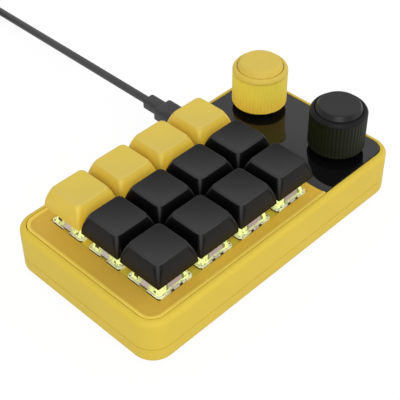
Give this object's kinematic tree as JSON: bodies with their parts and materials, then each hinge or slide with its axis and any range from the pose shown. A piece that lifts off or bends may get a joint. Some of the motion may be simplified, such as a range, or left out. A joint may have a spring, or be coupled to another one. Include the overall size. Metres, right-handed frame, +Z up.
{
  "type": "macro keypad",
  "caption": "Desk macro keypad with sprung square keys, two turning push knobs and a plug-in lead.",
  "frame": {"origin": "on the table plane, under the middle of the case", "axes": "+X from the keys towards the knobs, +Y to the back where the lead leaves, +Z up"},
  "size_m": [0.1298, 0.2809, 0.0395],
  "materials": {
    "yellow_shell": "satin",
    "yellow_deck": "satin",
    "yellow_keycap": "matte",
    "yellow_knob": "satin",
    "black_keycap": "matte",
    "black_knob": "satin",
    "black_gloss": "gloss",
    "dark_plastic": "satin",
    "lit_clear_plastic": "gloss",
    "steel_plate": "painted",
    "bright_metal": "satin",
    "circuit_board": "gloss",
    "black_rubber": "matte",
    "grey_overmould": "satin",
    "grey_lead": "satin"
  },
  "bodies": {
    "base": {"bottom_case": "yellow_shell", "top_case": "yellow_shell", "key_deck": "yellow_deck", "switch_plate": "steel_plate", "knob_panel": "black_gloss", "circuit_board": "circuit_board", "usb_socket": "bright_metal", "switch_bases": "dark_plastic", "switch_tops": "lit_clear_plastic", "encoder_bodies": "bright_metal", "rubber_feet": "black_rubber", "case_screws": "bright_metal", "usb_plug": "grey_overmould", "cord": "grey_lead", "cord_coil": "grey_lead", "far_plug": "grey_overmould", "spring_front_1": "bright_metal", "spring_front_2": "bright_metal", "spring_front_3": "bright_metal", "spring_front_4": "bright_metal", "spring_middle_1": "bright_metal", "spring_middle_2": "bright_metal", "spring_middle_3": "bright_metal", "spring_middle_4": "bright_metal", "spring_back_1": "bright_metal", "spring_back_2": "bright_metal", "spring_back_3": "bright_metal", "spring_back_4": "bright_metal"},
    "key_front_1": {"keycap_front_1": "black_keycap", "stem_front_1": "dark_plastic"},
    "key_front_2": {"keycap_front_2": "black_keycap", "stem_front_2": "dark_plastic"},
    "key_front_3": {"keycap_front_3": "black_keycap", "stem_front_3": "dark_plastic"},
    "key_front_4": {"keycap_front_4": "black_keycap", "stem_front_4": "dark_plastic"},
    "key_middle_1": {"keycap_middle_1": "black_keycap", "stem_middle_1": "dark_plastic"},
    "key_middle_2": {"keycap_middle_2": "black_keycap", "stem_middle_2": "dark_plastic"},
    "key_middle_3": {"keycap_middle_3": "black_keycap", "stem_middle_3": "dark_plastic"},
    "key_middle_4": {"keycap_middle_4": "black_keycap", "stem_middle_4": "dark_plastic"},
    "key_back_1": {"keycap_back_1": "yellow_keycap", "stem_back_1": "dark_plastic"},
    "key_back_2": {"keycap_back_2": "yellow_keycap", "stem_back_2": "dark_plastic"},
    "key_back_3": {"keycap_back_3": "yellow_keycap", "stem_back_3": "dark_plastic"},
    "key_back_4": {"keycap_back_4": "yellow_keycap", "stem_back_4": "dark_plastic"},
    "knob_click_front": {"encoder_plunger_front": "dark_plastic"},
    "knob_turn_front": {"encoder_shaft_front": "bright_metal", "knob_front": "black_knob", "knob_cap_front": "black_knob"},
    "knob_click_back": {"encoder_plunger_back": "dark_plastic"},
    "knob_turn_back": {"encoder_shaft_back": "bright_metal", "knob_back": "yellow_knob", "knob_cap_back": "yellow_knob"}
  },
  "joints": [
    {"name": "press_front_1", "type": "slide", "parent": "base", "child": "key_front_1", "axis": [0, 0, -1], "range_m": [0, 0.004], "stiffness_N_per_m": 75, "springref_m": -0.004, "deforming": ["spring_front_1"]},
    {"name": "press_front_2", "type": "slide", "parent": "base", "child": "key_front_2", "axis": [0, 0, -1], "range_m": [0, 0.004], "stiffness_N_per_m": 75, "springref_m": -0.004, "deforming": ["spring_front_2"]},
    {"name": "press_front_3", "type": "slide", "parent": "base", "child": "key_front_3", "axis": [0, 0, -1], "range_m": [0, 0.004], "stiffness_N_per_m": 75, "springref_m": -0.004, "deforming": ["spring_front_3"]},
    {"name": "press_front_4", "type": "slide", "parent": "base", "child": "key_front_4", "axis": [0, 0, -1], "range_m": [0, 0.004], "stiffness_N_per_m": 75, "springref_m": -0.004, "deforming": ["spring_front_4"]},
    {"name": "press_middle_1", "type": "slide", "parent": "base", "child": "key_middle_1", "axis": [0, 0, -1], "range_m": [0, 0.004], "stiffness_N_per_m": 75, "springref_m": -0.004, "deforming": ["spring_middle_1"]},
    {"name": "press_middle_2", "type": "slide", "parent": "base", "child": "key_middle_2", "axis": [0, 0, -1], "range_m": [0, 0.004], "stiffness_N_per_m": 75, "springref_m": -0.004, "deforming": ["spring_middle_2"]},
    {"name": "press_middle_3", "type": "slide", "parent": "base", "child": "key_middle_3", "axis": [0, 0, -1], "range_m": [0, 0.004], "stiffness_N_per_m": 75, "springref_m": -0.004, "deforming": ["spring_middle_3"]},
    {"name": "press_middle_4", "type": "slide", "parent": "base", "child": "key_middle_4", "axis": [0, 0, -1], "range_m": [0, 0.004], "stiffness_N_per_m": 75, "springref_m": -0.004, "deforming": ["spring_middle_4"]},
    {"name": "press_back_1", "type": "slide", "parent": "base", "child": "key_back_1", "axis": [0, 0, -1], "range_m": [0, 0.004], "stiffness_N_per_m": 75, "springref_m": -0.004, "deforming": ["spring_back_1"]},
    {"name": "press_back_2", "type": "slide", "parent": "base", "child": "key_back_2", "axis": [0, 0, -1], "range_m": [0, 0.004], "stiffness_N_per_m": 75, "springref_m": -0.004, "deforming": ["spring_back_2"]},
    {"name": "press_back_3", "type": "slide", "parent": "base", "child": "key_back_3", "axis": [0, 0, -1], "range_m": [0, 0.004], "stiffness_N_per_m": 75, "springref_m": -0.004, "deforming": ["spring_back_3"]},
    {"name": "press_back_4", "type": "slide", "parent": "base", "child": "key_back_4", "axis": [0, 0, -1], "range_m": [0, 0.004], "stiffness_N_per_m": 75, "springref_m": -0.004, "deforming": ["spring_back_4"]},
    {"name": "click_front", "type": "slide", "parent": "base", "child": "knob_click_front", "axis": [0, 0, -1], "range_m": [0, 0.0005], "stiffness_N_per_m": 2000, "springref_m": -0.001},
    {"name": "turn_front", "type": "hinge", "parent": "knob_click_front", "child": "knob_turn_front", "pos_m": [0.04725, -0.01905, 0.022], "axis": [0, 0, 1], "continuous": true},
    {"name": "click_back", "type": "slide", "parent": "base", "child": "knob_click_back", "axis": [0, 0, -1], "range_m": [0, 0.0005], "stiffness_N_per_m": 2000, "springref_m": -0.001},
    {"name": "turn_back", "type": "hinge", "parent": "knob_click_back", "child": "knob_turn_back", "pos_m": [0.04725, 0.01905, 0.022], "axis": [0, 0, 1], "continuous": true}
  ]
}
